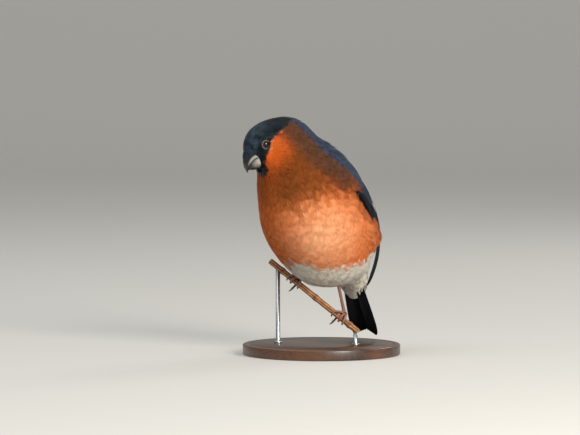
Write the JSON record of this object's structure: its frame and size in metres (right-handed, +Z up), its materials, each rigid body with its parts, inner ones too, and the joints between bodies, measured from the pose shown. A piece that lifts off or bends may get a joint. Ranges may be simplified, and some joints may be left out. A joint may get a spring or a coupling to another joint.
{
  "type": "bullfinch model",
  "caption": "Life-size still model of a male bullfinch gripping a sloping stem, head bent down to one side, on a round stand.",
  "frame": {"origin": "centre of the stand base's underside", "axes": "+Z up, the bird's body faces -Y, its left side is +X"},
  "size_m": [0.09, 0.0968, 0.1358],
  "materials": {
    "cap": "glossy blue-black feathers",
    "body_plumage": "soft feathers, orange-red below, blue-grey above, white at the vent and rump",
    "flight_feathers": "black feathers with a blue gloss, pale grey covert tips",
    "bill_horn": "smooth blackish horn",
    "eye": "wet, dark brown",
    "leg_skin": "scaly brown skin",
    "claw_horn": "dark horn",
    "bark": "ribbed orange-brown bark",
    "stand_wood": "dark stained, satin",
    "stand_steel": "brushed"
  },
  "bodies": {
    "root": {"head": "cap", "neck": "body_plumage", "torso": "body_plumage", "left_wing": "flight_feathers", "right_wing": "flight_feathers", "tail": "flight_feathers", "upper_mandible": "bill_horn", "lower_mandible": "bill_horn", "left_eye": "eye", "right_eye": "eye", "left_tarsus": "leg_skin", "left_foot": "leg_skin", "left_claw_1": "claw_horn", "left_claw_2": "claw_horn", "left_claw_3": "claw_horn", "left_claw_4": "claw_horn", "right_tarsus": "leg_skin", "right_foot": "leg_skin", "right_claw_1": "claw_horn", "right_claw_2": "claw_horn", "right_claw_3": "claw_horn", "right_claw_4": "claw_horn", "perch": "bark", "stand_base": "stand_wood", "stand_rod_upper": "stand_steel", "stand_rod_lower": "stand_steel"}
  },
  "joints": []
}
